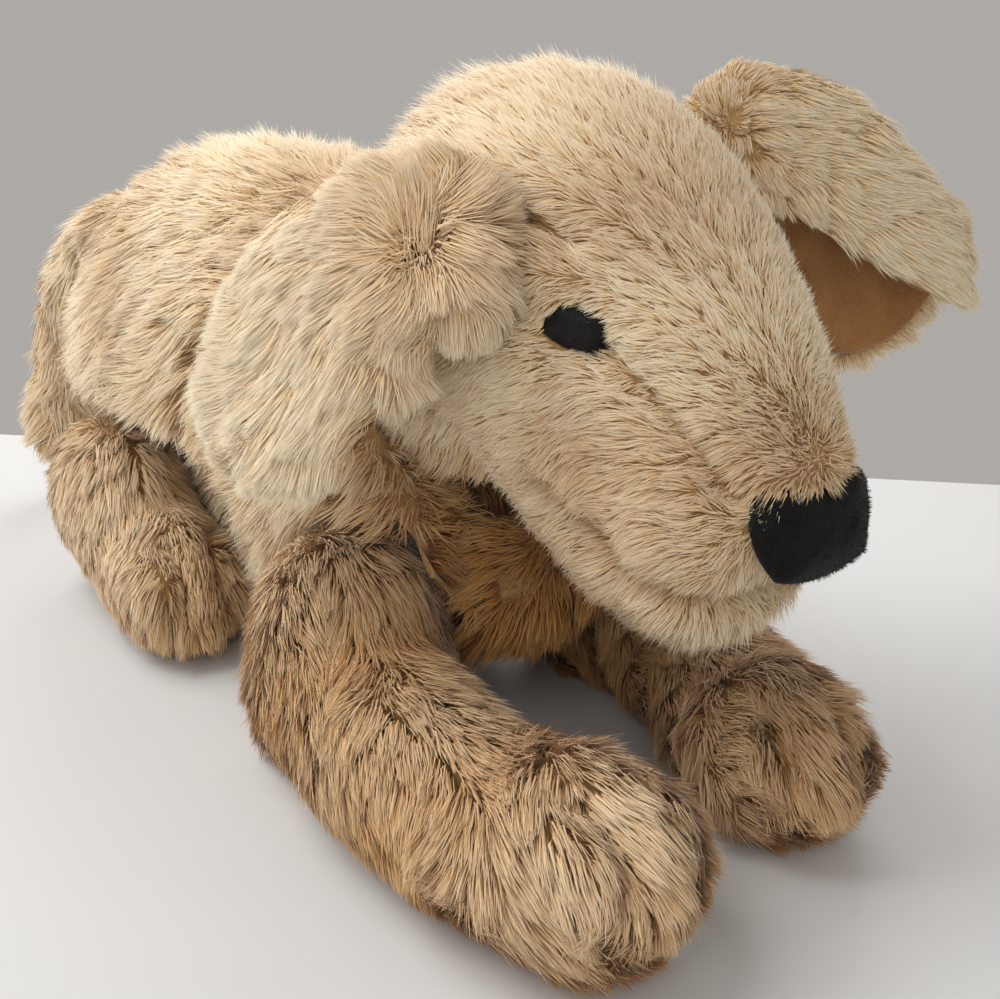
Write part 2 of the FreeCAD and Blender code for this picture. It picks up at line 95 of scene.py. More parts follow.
def only(*objects):
    """Select these objects and nothing else; the first is active."""
    bpy.ops.object.select_all(action="DESELECT")
    for obj in objects:
        obj.select_set(True)
    bpy.context.view_layer.objects.active = objects[0]


def read_points(mesh):
    points = np.empty(len(mesh.vertices) * 3)
    mesh.vertices.foreach_get("co", points)
    return points.reshape(-1, 3)


def write_points(mesh, points):
    mesh.vertices.foreach_set("co", points.ravel())
    mesh.update()


def read_normals(mesh):
    normals = np.empty(len(mesh.vertices) * 3)
    mesh.vertices.foreach_get("normal", normals)
    return normals.reshape(-1, 3)


def unit(vectors):
    return vectors / np.maximum(np.linalg.norm(vectors, axis=-1, keepdims=True), 1e-9)


def waves(points, size, seed, count=5):
    """Smooth made-up vectors that change over about one size."""
    rng = np.random.default_rng(seed)
    total = np.zeros_like(points)
    for _ in range(count):
        way = unit(rng.normal(size=3)) * (2 * math.pi / size) * rng.uniform(0.6, 1.5)
        phase = rng.uniform(0, 2 * math.pi, 3)
        total += np.sin(points @ way[:, None] + phase) * rng.normal(size=3)
    return total / math.sqrt(count)


def near(points, centre, radius):
    """1 at a centre, falling to 0 over a radius."""
    gap = np.linalg.norm((points - centre) / radius, axis=1)
    return np.exp(-gap ** 2)


def gaps(points, line):
    """For each straight piece of a line, the way from it to each point."""
    for one, two in zip(line[:-1], line[1:]):
        along = two - one
        share = np.clip((points - one) @ along / max(along @ along, 1e-12), 0, 1)[:, None]
        yield points - one - share * along


def from_line(points, line):
    """How far each point lies from a line through some spots."""
    return np.min([np.linalg.norm(gap, axis=1) for gap in gaps(points, np.array(line))], axis=0)


def crease(points, line, radius):
    """1 on a line, falling to 0 over a radius in millimetres."""
    return np.exp(-(from_line(points, line) / (radius * MM)) ** 2)


def sink(points, normals, groups, lift=None):
    """Draw seams into a cover. groups holds (lines, depth, radius); each line then follows its own crease."""
    push = np.zeros(len(points)) if lift is None else lift
    held = []
    for lines, depth, radius in groups:
        for index, line in enumerate(lines):
            line = np.array(line)
            steps = np.linspace(0, len(line) - 1, 6 * len(line))
            fine = np.column_stack([np.interp(steps, np.arange(len(line)), line[:, k]) for k in range(3)])
            nearest = [int(np.argmin(np.linalg.norm(points - one, axis=1))) for one in fine]
            push = push - depth * crease(points, points[nearest], radius)
            held.append((lines, index, nearest))
    moved = points + normals * push[:, None] * MM
    for lines, index, nearest in held:
        lines[index] = smooth_line(moved[nearest])
    return moved


def smooth_line(line):
    """Evened out, so that it doesn't step from one point of the cover to the next."""
    for _ in range(6):
        line[1:-1] = (line[:-2] + 2 * line[1:-1] + line[2:]) / 4
    return line[::3]


def parted(points, lines, reach):
    """Ways that lead off from the nearest seams, strongest beside them."""
    total = np.zeros_like(points)
    for line in lines:
        for gap in gaps(points, line):
            far = np.linalg.norm(gap, axis=1, keepdims=True)
            total += gap / np.maximum(far, 1e-6) * np.exp(-(far / (reach * MM)) ** 2)
    return total


def apply(obj, kind, **settings):
    """Finish an object with one modifier."""
    only(obj)
    modifier = obj.modifiers.new(kind.lower(), kind)
    for key, value in settings.items():
        setattr(modifier, key, value)
    bpy.ops.object.modifier_apply(modifier=modifier.name)


def thicken(sheet, thickness):
    """A sheet of cloth given its thickness, with rounded edges."""
    apply(sheet, "SOLIDIFY", thickness=thickness, offset=-1.0)
    apply(sheet, "SUBSURF", levels=1, render_levels=1)
    only(sheet)
    bpy.ops.object.shade_smooth()


# ---------------------------------------------------------------- materials

def material(name, roughness, sheen=0.0, specular=0.5):
    made = bpy.data.materials.new(name)
    made.use_nodes = True
    shader = made.node_tree.nodes["Principled BSDF"]
    shader.inputs["Roughness"].default_value = roughness
    shader.inputs["Sheen Weight"].default_value = sheen
    shader.inputs["Specular IOR Level"].default_value = specular
    return made, made.node_tree.nodes, made.node_tree.links, shader


def ramp(nodes, stops):
    made = nodes.new("ShaderNodeValToRGB")
    while len(made.color_ramp.elements) < len(stops):
        made.color_ramp.elements.new(0.5)
    for element, (place, colour) in zip(made.color_ramp.elements, stops):
        element.position = place
        element.color = colour
    return made


def pile_material():
    """Blades of pile: across the map from pale to honey, the deep honey also carrying painted shade; along it from
    root to tip, with painted shade deep in the pile at the darker root.
    """
    made, nodes, links, shader = material("pile", 0.62, sheen=0.25, specular=0.25)
    place = nodes.new("ShaderNodeUVMap")
    place.uv_map = "OFBake"
    split = nodes.new("ShaderNodeSeparateXYZ")
    links.new(place.outputs["UV"], split.inputs[0])
    pale = ramp(nodes, [(0.0, ROOT_COLOUR_AND_SHADE), (0.35, HONEY_COLOUR), (0.62, PALE_COLOUR), (1.0, TIP_COLOUR)])
    # Deep honey; its dark root stops are painted shade deep in the pile.
    honey = ramp(nodes, [(0.0, (0.16, 0.05, 0.01, 1)), (0.4, (0.38, 0.15, 0.035, 1)),
                         (0.8, (0.62, 0.32, 0.09, 1)), (1.0, (0.82, 0.52, 0.20, 1))])
    links.new(split.outputs["Y"], pale.inputs["Fac"])
    links.new(split.outputs["Y"], honey.inputs["Fac"])
    mix = nodes.new("ShaderNodeMix")
    mix.data_type = "RGBA"
    links.new(split.outputs["X"], mix.inputs["Factor"])
    links.new(pale.outputs["Color"], mix.inputs["A"])
    links.new(honey.outputs["Color"], mix.inputs["B"])
    links.new(mix.outputs["Result"], shader.inputs["Base Color"])
    return made


def cloth_grain():
    """The grain that every cloth shares, in colour and relief, as one group."""
    group = bpy.data.node_groups.new("cloth_grain", "ShaderNodeTree")
    for way, kind, name in (("INPUT", "NodeSocketColor", "Dark"), ("INPUT", "NodeSocketColor", "Light"),
                            ("INPUT", "NodeSocketFloat", "Grain"), ("INPUT", "NodeSocketFloat", "Depth"),
                            ("OUTPUT", "NodeSocketColor", "Color"), ("OUTPUT", "NodeSocketVector", "Normal")):
        group.interface.new_socket(name=name, in_out=way, socket_type=kind)
    nodes, links = group.nodes, group.links
    given, out = nodes.new("NodeGroupInput"), nodes.new("NodeGroupOutput")
    place = nodes.new("ShaderNodeTexCoord")
    fine, broad = nodes.new("ShaderNodeTexNoise"), nodes.new("ShaderNodeTexNoise")
    fine.inputs["Detail"].default_value = 4
    wide = nodes.new("ShaderNodeMath")
    wide.operation = "DIVIDE"
    wide.inputs[1].default_value = 14
    links.new(given.outputs["Grain"], wide.inputs[0])
    links.new(given.outputs["Grain"], fine.inputs["Scale"])
    links.new(wide.outputs[0], broad.inputs["Scale"])
    both = nodes.new("ShaderNodeMath")
    both.operation = "ADD"
    for noise, socket in ((fine, 0), (broad, 1)):
        links.new(place.outputs["Object"], noise.inputs["Vector"])
        links.new(noise.outputs["Fac"], both.inputs[socket])
    spread = nodes.new("ShaderNodeMapRange")
    spread.inputs["From Min"].default_value = 0.6
    spread.inputs["From Max"].default_value = 1.4
    links.new(both.outputs[0], spread.inputs["Value"])
    mix = nodes.new("ShaderNodeMix")
    mix.data_type = "RGBA"
    links.new(spread.outputs["Result"], mix.inputs["Factor"])
    links.new(given.outputs["Dark"], mix.inputs["A"])
    links.new(given.outputs["Light"], mix.inputs["B"])
    links.new(mix.outputs["Result"], out.inputs["Color"])
    bump = nodes.new("ShaderNodeBump")
    bump.inputs["Strength"].default_value = 0.6
    links.new(given.outputs["Depth"], bump.inputs["Distance"])
    links.new(fine.outputs["Fac"], bump.inputs["Height"])
    links.new(bump.outputs["Normal"], out.inputs["Normal"])
    return group


def cloth_material(name, dark, light, grain, depth, roughness=0.85, sheen=0.3):
    """Short nap or knitted backing."""
    made, nodes, links, shader = material(name, roughness, sheen=sheen, specular=0.2)
    cloth = nodes.new("ShaderNodeGroup")
    cloth.node_tree = GRAIN
    for key, value in (("Dark", dark), ("Light", light), ("Grain", grain), ("Depth", depth)):
        cloth.inputs[key].default_value = value
    links.new(cloth.outputs["Color"], shader.inputs["Base Color"])
    links.new(cloth.outputs["Normal"], shader.inputs["Normal"])
    return made


GRAIN = cloth_grain()
PILE = pile_material()
BACKING = cloth_material("knitted_backing", (0.42, 0.24, 0.09, 1), (0.58, 0.37, 0.16, 1), 900, 0.0006)
VELOUR = cloth_material("ear_velour", (0.27, 0.11, 0.03, 1), (0.46, 0.23, 0.075, 1), 1400, 0.0004, sheen=0.5)
VELVET = cloth_material("nose_velvet", (0.003, 0.003, 0.003, 1), (0.011, 0.010, 0.010, 1), 1500, 0.0004, sheen=0.08)
EYE = cloth_material("eye_black", (0.006, 0.005, 0.005, 1), (0.012, 0.011, 0.010, 1), 700, 0.00005, roughness=0.42,
                     sheen=0.0)
FILLING = cloth_material("fibre_filling", (0.70, 0.70, 0.68, 1), (0.90, 0.90, 0.88, 1), 260, 0.001)
BAGCLOTH = cloth_material("pellet_bag_cloth", (0.62, 0.60, 0.54, 1), (0.82, 0.80, 0.74, 1), 1100, 0.0004)
WASHER = cloth_material("moulded_washer", (0.66, 0.66, 0.63, 1), (0.80, 0.80, 0.78, 1), 300, 0.0001, roughness=0.5,
                        sheen=0.0)
THREAD = cloth_material("sewing_thread", (0.06, 0.03, 0.015, 1), (0.16, 0.08, 0.04, 1), 2400, 0.0003)


def give(obj, made):
    obj.data.materials.clear()
    obj.data.materials.append(made)
    return obj


# ---------------------------------------------------------------- skins: the cloth under the pile

def copy_nodes(name, nodes):
    """One object from copies of CAD nodes."""
    copies = []
    for node in nodes:
        source = frame["nodes"][node]
        copy = bpy.data.objects.new(name, source.data.copy())
        bpy.context.scene.collection.objects.link(copy)
        copies.append(copy)
    only(*copies)
    if len(copies) > 1:
        bpy.ops.object.join()
    made = bpy.context.view_layer.objects.active
    made.name = name
    bpy.ops.object.mode_set(mode="EDIT")
    bpy.ops.mesh.select_all(action="SELECT")
    bpy.ops.mesh.remove_doubles(threshold=0.00001)
    bpy.ops.object.mode_set(mode="OBJECT")
    return made


def inflate(obj, cap):
    """Let the filling press the cloth out a little, like a sewn cover round its stuffing."""
    only(obj)
    before = read_points(obj.data)
    cloth = obj.modifiers.new("cloth", "CLOTH")
    cloth.settings.quality = 4
    cloth.settings.use_pressure = True
    cloth.settings.uniform_pressure_force = FILLING_PRESSURE
    cloth.settings.effector_weights.gravity = 0
    cloth.settings.tension_stiffness = 20
    cloth.settings.bending_stiffness = 2
    for step in range(1, 13):
        bpy.context.scene.frame_set(step)
    shown = obj.evaluated_get(bpy.context.evaluated_depsgraph_get())
    after = read_points(shown.data)
    obj.modifiers.remove(cloth)
    bpy.context.scene.frame_set(1)
    move = after - before
    reach = np.linalg.norm(move, axis=1, keepdims=True)
    write_points(obj.data, before + move * np.minimum(1.0, cap / np.maximum(reach, 1e-9)))


def skin(name, body, nodes, hidden, inset, voxel=0.004, shape=None, cap=0.002, smooth=8):
    """The sewn cover of one body, drawn in from the CAD solids by the pile's height."""
    made = copy_nodes(name, nodes)
    apply(made, "REMESH", mode="VOXEL", voxel_size=voxel)
    apply(made, "SMOOTH", factor=0.5, iterations=smooth)
    apply(made, "DISPLACE", strength=-inset, mid_level=0.0)
    apply(made, "SMOOTH", factor=0.5, iterations=4)
    if shape:
        write_points(made.data, shape(read_points(made.data), read_normals(made.data)))
    inflate(made, cap)
    points = read_points(made.data)
    points[:, 2] = np.maximum(points[:, 2], CLOTH_LOW)
    write_points(made.data, points)
    apply(made, "SUBSURF", levels=1, render_levels=1)
    only(made)
    bpy.ops.object.shade_smooth()
    give(made, BACKING)
    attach(made, body)
    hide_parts(*(nodes + hidden))
    return made


# ---------------------------------------------------------------- pile: blades of fur on a skin

def scatter(obj, count, rng, keep=None):
    """Random roots on a skin, spread by area, with their normals."""
    mesh = obj.data
    mesh.calc_loop_triangles()
    corners = np.empty(len(mesh.loop_triangles) * 3, dtype=np.int32)
    mesh.loop_triangles.foreach_get("vertices", corners)
    corners = corners.reshape(-1, 3)
    points = read_points(mesh)
    normals = read_normals(mesh)
    one, two, three = (points[corners[:, k]] for k in range(3))
    area = np.linalg.norm(np.cross(two - one, three - one), axis=1)
    if keep is not None:
        area = area * keep((one + two + three) / 3, unit(normals[corners].mean(axis=1)))
    pick = rng.choice(len(area), size=count, p=area / area.sum())
    first = rng.random(count)
    second = rng.random(count)
    flip = first + second > 1
    first[flip] = 1 - first[flip]
    second[flip] = 1 - second[flip]
    share = np.stack([1 - first - second, first, second], axis=1)
    roots = np.einsum("nk,nkc->nc", share, points[corners[pick]])
    ways = unit(np.einsum("nk,nkc->nc", share, normals[corners[pick]]))
    return roots, ways


def clump(tips, roots, cell, pull, seed):
    """Draw tips towards the middle of their own tuft."""
    warped = roots + waves(roots, cell * 3, seed) * cell * 0.35
    keys = np.floor(warped / cell).astype(np.int64)
    keys = keys[:, 0] * 73856093 ^ keys[:, 1] * 19349663 ^ keys[:, 2] * 83492791
    _, tuft = np.unique(keys, return_inverse=True)
    number = np.bincount(tuft)
    middle = np.stack([np.bincount(tuft, tips[:, k]) / number for k in range(3)], axis=1)
    return tips + (middle[tuft] - tips) * pull


def blade_mesh(name, base, middle, tips, side, width, tone, ways):
    """Two triangles a blade, widest at its middle, that face and shade the way the cover does."""
    count = len(base)
    reach = side * width[:, None]
    points = np.stack([base, middle - reach, middle + reach, tips], axis=1)
    faces = np.arange(count)[:, None] * 4 + np.array([0, 2, 1, 1, 2, 3])
    mesh = bpy.data.meshes.new(name)
    mesh.vertices.add(count * 4)
    mesh.vertices.foreach_set("co", points.reshape(-1).astype(np.float32))
    mesh.loops.add(count * 6)
    mesh.loops.foreach_set("vertex_index", faces.reshape(-1).astype(np.int32))
    mesh.polygons.add(count * 2)
    mesh.polygons.foreach_set("loop_start", (np.arange(count * 2) * 3).astype(np.int32))
    mesh.update(calc_edges=True)
    across = np.array([0.5, 1, 0, 0, 1, 0.5]) / 256
    along = np.array([0.01, 0.45, 0.45, 0.45, 0.45, 0.99])
    places = np.empty((count, 6, 2), dtype=np.float32)
    places[:, :, 0] = tone[:, None] * 0.98 + across
    places[:, :, 1] = along
    layer = mesh.uv_layers.new(name="OFBake")
    layer.data.foreach_set("uv", places.reshape(-1))
    mesh.polygons.foreach_set("use_smooth", np.ones(count * 2, dtype=bool))
    own = read_normals(mesh).reshape(count, 4, 3)
    soft = unit(own * (1 - SOFTNESS) + ways[:, None, :] * SOFTNESS)
    mesh.normals_split_custom_set_from_vertices(soft.reshape(-1, 3).astype(np.float32))
    return mesh


def grow(name, cover, body, count, comb, length, seed, tone=None, keep=None, width=0.42, rise=(50, 14),
         tufts=((5.0, 0.5),), tousle=0.35, bare=(), made=None):
    """Pile on a skin. comb gives the way that it lies, length its length in millimetres."""
    rng = np.random.default_rng(seed)
    roots, ways = scatter(cover, count, rng, keep)
    for centre, radius in bare:
        clear = np.linalg.norm((roots - centre) / radius, axis=1) > 1
        roots, ways = roots[clear], ways[clear]
    total = len(roots)
    lie = comb(roots, ways)
    lie = unit(lie) + waves(roots, 0.030, seed + 1) * tousle + rng.normal(size=(total, 3)) * 0.16
    lie = unit(lie - ways * np.sum(lie * ways, axis=1, keepdims=True))
    long = length(roots, ways) * MM * rng.uniform(0.7, 1.2, total)
    low, high = (np.radians(angle + rng.normal(size=total) * 9) for angle in rise)
    base = roots - ways * ROOT_DEPTH
    middle = base + long[:, None] * LOWER_SHARE * (ways * np.sin(low)[:, None] + lie * np.cos(low)[:, None])
    upper = long[:, None] * (1 - LOWER_SHARE)
    tips = middle + upper * (ways * np.sin(high)[:, None] + lie * np.cos(high)[:, None])
    tips += waves(roots, 0.008, seed + 2) * long[:, None] * 0.13
    for step, (cell, pull) in enumerate(tufts):
        tips = clump(tips, roots, cell * MM, pull, seed + 3 + step)
        middle = clump(middle, roots, cell * MM, pull * 0.35, seed + 3 + step)
    for spots in (middle, tips):
        spots[:, 2] = np.maximum(spots[:, 2], FLOOR_SKIM)
    flat = unit(np.cross(ways, lie))
    roll = rng.normal(size=total)[:, None] * 0.45
    side = flat * np.cos(roll) + ways * np.sin(roll)
    outward = np.sum(np.cross(side, tips - base) * ways, axis=1)
    side *= np.where(outward < 0, -1.0, 1.0)[:, None]
    half = width * MM / 2 * rng.uniform(0.7, 1.3, total)
    shade = BASE_TONE + 0.16 * waves(roots, 0.060, seed + 9)[:, 0] + 0.10 * rng.normal(size=total)
    # Each cover's tone adds deeper honey, much of it painted shade in creases, recesses and where the cover faces
    # down.
    if tone is not None:
        shade += tone(roots, ways)
    shade = np.clip(shade, 0.0, 0.99)
    pieces = math.ceil(total / PIECE_STRANDS)
    for index in range(pieces):
        part = slice(index, None, pieces)
        piece_name = name if pieces == 1 else name + "_" + str(index + 1)
        mesh = blade_mesh(piece_name, base[part], middle[part], tips[part], side[part], half[part], shade[part],
                          ways[part])
        piece = bpy.data.objects.new(piece_name, mesh)
        bpy.context.scene.collection.objects.link(piece)
        give(piece, made or PILE)
        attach(piece, body)


# ---------------------------------------------------------------- the way the pile lies

def away_from(centre, share, drift):
    """Out from a whorl, with a steady drift."""
    drift = np.array(drift, dtype=float)
    return lambda points, ways: unit(points - centre) * share + drift


def torso_comb(points, ways):
    """Back along the spine and down the flanks."""
    way = np.zeros_like(points)
    way[:, 1] = 0.5
    way[:, 2] = -0.9 * (1 - np.clip(ways[:, 2], 0, 1)) - 0.1
    way[:, 0] = ways[:, 0] * 0.6
    return way


def head_comb(points, ways):
    """From the nose back over the brow, and down the cheeks."""
    way = np.zeros_like(points)
    way[:, 1] = 0.9
    way[:, 0] = ways[:, 0] * 0.35
    way[:, 2] = 0.45 * np.clip(ways[:, 2], 0, 1) - 0.75 * (1 - np.clip(ways[:, 2], -0.2, 1))
    return way + 0.75 * parted(points, MUZZLE_SEAMS + BROW_SEAMS, 4.0) + 1.1 * parted(points, MOUTH, 4.5)


def leg_comb(points, ways):
    """Down and out to the paw."""
    way = np.zeros_like(points)
    way[:, 1] = -0.8
    way[:, 2] = -0.45
    way[:, 0] = ways[:, 0] * 0.45
    return way


def hind_comb(points, ways):
    way = np.zeros_like(points)
    way[:, 1] = -0.25
    way[:, 2] = -0.9
    way[:, 0] = ways[:, 0] * 0.3
    return way


def tail_comb(points, ways):
    way = np.zeros_like(points)
    way[:, 1] = 0.25
    way[:, 2] = -1.0
    return way


def even(value):
    return lambda points, ways: np.full(len(points), float(value))


# ---------------------------------------------------------------- the covers

def nodes_of(body, *words):
    return [n for n in frame["record"]["behaviour"]["bodies"][body] if any(w in n for w in words)]


def middle_of(node):
    low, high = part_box(node)
    return (np.array(low) + np.array(high)) / 2


EYES = {"right": middle_of("eye_right") + np.array([-2.0, 2.6, 2.4]) * MM,
        "left": middle_of("eye_left") + np.array([2.0, 2.6, 2.4]) * MM}
NOSE = middle_of("nose_patch") + np.array([0.0, -1.0, 3.6]) * MM


def head_shape(points, normals):
    """Cheeks, brows, lids, upper lips, and the creases where the head is seamed."""
    push = np.zeros(len(points))
    for sense in (-1, 1):
        push += 2.5 * near(points, on_head(sense * 34, 62, 84), 18 * MM)
        push += 3.6 * near(points, on_head(sense * 36, 60, 36), 11 * MM)
        push += 3.0 * near(points, on_head(sense * 24, 26, 92), 14 * MM)
        push -= 2.0 * near(points, on_head(sense * 35, 50, 50), 9 * MM)
    push -= 1.8 * near(points, on_head(0, 52, 36), 12 * MM)
    push += 1.5 * near(points, on_head(0, 98, 4), 26 * MM)
    return sink(points, normals, [(MUZZLE_SEAMS, 4.2, 3.8), (BROW_SEAMS, 4.6, 4.6), (MOUTH, 7.5, 4.6)], push)


def head_length(points, ways):
    behind = (points[:, 1] - HEAD_LOW[1]) / MM
    below = (HEAD_HIGH[2] - points[:, 2]) / MM
    long = 7.5 + 6.0 * np.clip((behind - 65) / 50, 0, 1) + 2.5 * np.clip((below - 96) / 20, 0, 1)
    for eye in EYES.values():
        long -= 4.5 * near(points, eye, 12 * MM)
    long -= 2.5 * near(points, NOSE, 20 * MM)
    for line in MUZZLE_SEAMS + BROW_SEAMS + MOUTH:
        long *= 1 - 0.45 * crease(points, line, 1.9)
    return long


def head_tone_and_painted_shade(points, ways):
    shade = np.full(len(points), -0.12)
    for sense in (-1, 1):
        # Painted shade on the cheeks.
        shade += 0.45 * near(points, on_head(sense * 37, 46, 72), 16 * MM)
    # Painted shade in the creases along the muzzle, brow and mouth seams.
    for line in MUZZLE_SEAMS + BROW_SEAMS:
        shade = shade + 0.5 * crease(points, line, 1.6)
    for line in MOUTH:
        shade = shade + 1.0 * crease(points, line, 2.6)
    # Painted shade where the head faces down.
    return shade + 0.28 * np.clip(-ways[:, 2], 0, 1)


def loose_parts(node):
    """The loose shells of a CAD node, each as its points."""
    copy = copy_nodes(node + "_copy", [node])
    mesh = copy.data
    parent = np.arange(len(mesh.vertices))

    def root(index):
        while parent[index] != index:
            parent[index] = parent[parent[index]]
            index = parent[index]
        return index

    for edge in mesh.edges:
        one, two = root(edge.vertices[0]), root(edge.vertices[1])
        parent[one] = two
    owner = np.array([root(index) for index in range(len(parent))])
    points = read_points(mesh)
    shells = [points[owner == one] for one in np.unique(owner)]
    bpy.data.objects.remove(copy)
    return shells


def middle_line(points, steps=9):
    """The line along the middle of a long thin shell."""
    centre = points.mean(axis=0)
    along = np.linalg.svd(points - centre, full_matrices=False)[2][0]
    place = (points - centre) @ along
    ends = np.linspace(place.min(), place.max(), steps + 1)
    return [points[(place >= low) & (place <= high)].mean(axis=0) for low, high in zip(ends[:-1], ends[1:])
            if ((place >= low) & (place <= high)).any()]


TOES = {}
for leg in ("foreleg", "hindleg"):
    for hand in ("right", "left"):
        TOES[leg + "_" + hand] = [middle_line(shell) for shell in loose_parts(leg + "_toe_stitches_" + hand)]


def toe_shape(body):
    """Creases between the toes, and the toes puffed out beside them."""
    def shape(points, normals):
        push = np.zeros(len(points))
        for line in TOES[body]:
            push += 3.0 * np.exp(-((from_line(points, line) / MM - 10) / 4.5) ** 2)
        return sink(points, normals, [(TOES[body], 6.0, 3.8)], push)
    return shape


def toe_length(body, value):
    def length(points, ways):
        long = np.full(len(points), float(value))
        for line in TOES[body]:
            long *= 1 - 0.65 * crease(points, line, 3.4)
        return long
    return length


def leg_tone_and_painted_shade(body):
    """Painted shade: deeper honey low down by the floor, where the leg faces down, beside the chest and in the
    creases between the toes. The forearm is honey in its own tone, and deeper towards the paw.
    """
    def tone(points, ways):
        # Painted shade low down by the floor and where the leg faces down.
        shade = 0.16 + 0.35 * np.clip((34 * MM - points[:, 2]) / (34 * MM), 0, 1)
        shade += 0.30 * np.clip(-ways[:, 2], 0, 1)
        if "fore" in body:
            ahead = (SHOULDER[1] - points[:, 1]) / MM
            shade += 0.26 * np.clip((122 - ahead) / 40, 0, 1) * np.clip(ahead / 30, 0, 1)
            shade += 0.28 * np.clip((ahead - 112) / 34, 0, 1)
            # Painted shade beside the chest.
            shade += 0.10 * near(points, spot(-30 if "right" in body else 30, 56, 66), np.array([34, 30, 30]) * MM)
        # Painted shade in the creases between the toes.
        for line in TOES[body]:
            shade = shade + 0.7 * crease(points, line, 2.6)
        return shade
    return tone


def torso_tone_and_painted_shade(points, ways):
    # Painted shade: deep honey on the chest, drawn back under the chin and between the forearms, and where the torso
    # faces down.
    chest = near(points, spot(0, 56, 50), np.array([70, 42, 50]) * MM)
    return -0.04 + 1.1 * chest + 0.3 * np.clip(-ways[:, 2], 0, 1)


def neck_tone_and_painted_shade(points, ways):
    """Pale as the back above; the honey low at the front of the throat is painted shade under the head and ear."""
    low = np.clip((110 * MM - points[:, 2]) / (26 * MM), 0, 1)
    return -0.02 + 0.80 * low * np.clip((SHOULDER[1] + 6 * MM - points[:, 1]) / (26 * MM), 0, 1)


def off_floor(points, normals):
    """Little pile where the cloth is pressed on what it lies on."""
    return np.where(points[:, 2] > 3 * MM, 1.0, 0.12)


def chest_shape(points, normals):
    """The chest drawn back under the chin and between the forearms."""
    moved = points - normals * (6.0 * MM * near(points, spot(0, 46, 52), np.array([40, 30, 40]) * MM))[:, None]
    moved[:, 1] += 14.0 * MM * near(points, spot(-24, 48, 54), np.array([13, 17, 24]) * MM)
    return moved


def foreleg_shape(body):
    """Toes, and a fuller forearm where it meets the chest."""
    toes = toe_shape(body)
    forearm = spot(-38 if "right" in body else 50, 62, 62)

    def shape(points, normals):
        return toes(points, normals) + normals * (5.0 * MM * near(points, forearm, 26 * MM))[:, None]
    return shape


def build_covers():
    covers = {}
    torso = skin("torso_skin", "torso", nodes_of("torso", "panel", "stuffing"), [], 4.6 * MM, shape=chest_shape,
                 smooth=26)
    grow("torso_pile", torso, "torso", 160000, torso_comb, even(14.5), 10, tone=torso_tone_and_painted_shade, keep=off_floor,
         tufts=((8.0, 0.24), (3.5, 0.24)), tousle=0.45, rise=(54, 22), width=0.44)
    neck = skin("neck_skin", "neck", ["neck_cover"], ["neck_stuffing"], 1.5 * MM)
    grow("neck_pile", neck, "neck", 26000, torso_comb, even(14), 20, tone=neck_tone_and_painted_shade,
         tufts=((7.0, 0.5),), keep=lambda p, n: (n[:, 2] > -0.5) * 1.0)
    head = skin("head_skin", "head", nodes_of("head", "panel", "gusset", "stuffing"), [], 3.2 * MM,
                voxel=0.003, shape=head_shape)
    grow("head_pile", head, "head", 152000, head_comb, head_length, 30, width=0.34, rise=(52, 20),
         tufts=((4.5, 0.3),), tousle=0.3, tone=head_tone_and_painted_shade,
         bare=[(EYES["right"], 5.9 * MM), (EYES["left"], 5.9 * MM), (NOSE, np.array([16.0, 14, 9.8]) * MM)])
    for number, side in enumerate(("right", "left")):
        body = "foreleg_" + side
        leg = skin(body + "_skin", body, nodes_of(body, "panel", "stuffing"), [], 5.5 * MM, shape=foreleg_shape(body))
        covers[body] = leg
        grow(body + "_pile", leg, body, 72000, leg_comb, toe_length(body, 13.5), 40 + 20 * number, width=0.42,
             tone=leg_tone_and_painted_shade(body), tufts=((7.0, 0.42), (3.0, 0.3)), keep=off_floor, tousle=0.55, rise=(50, 18))
        body = "hindleg_" + side
        leg = skin(body + "_skin", body, nodes_of(body, "panel", "stuffing"), [], 5.5 * MM, shape=toe_shape(body))
        covers[body] = leg
        grow(body + "_pile", leg, body, 38000, hind_comb, toe_length(body, 13), 80 + 20 * number,
             tone=leg_tone_and_painted_shade(body), tufts=((7.0, 0.5), (3.0, 0.3)), keep=off_floor, tousle=0.5)
    tail = skin("tail_skin", "tail", ["tail_cover", "tail_stuffing"], [], 5.5 * MM)
    grow("tail_pile", tail, "tail", 28000, tail_comb, even(16), 120, tone=lambda p, n: np.full(len(p), 0.12),
         tufts=((6.0, 0.5),), keep=off_floor)
    covers["head"] = head
    return covers


# ---------------------------------------------------------------- ears: two layers of cloth, sewn round their edge

LEFT_RIDGE = [(43, 42, 176), (55, 46, 188), (76, 52, 184), (98, 59, 173), (117, 67, 159), (130, 73, 146)]
LEFT_FRONT = [(46, 53, 160), (60, 63, 156), (78, 70, 147), (98, 76, 136), (116, 80, 128), (129, 77, 130)]
LEFT_BACK = [(46, 45, 148), (62, 46, 130), (84, 52, 113), (104, 60, 106), (119, 69, 113), (129, 73, 128)]


def smooth_rows(rows, steps):
    """Points evenly along a smooth line through a few."""
    rows = np.array([spot(*row) for row in rows])
    place = np.linspace(0, len(rows) - 1, steps)
    out = np.empty((steps, 3))
    for index, value in enumerate(place):
        at = min(int(value), len(rows) - 2)
        share = value - at
        before, after = rows[max(at - 1, 0)], rows[min(at + 2, len(rows) - 1)]
        one, two = rows[at], rows[at + 1]
        out[index] = 0.5 * (2 * one + (two - before) * share + (2 * before - 5 * one + 4 * two - after) * share ** 2
                            + (3 * one - before - 3 * two + after) * share ** 3)
    return out


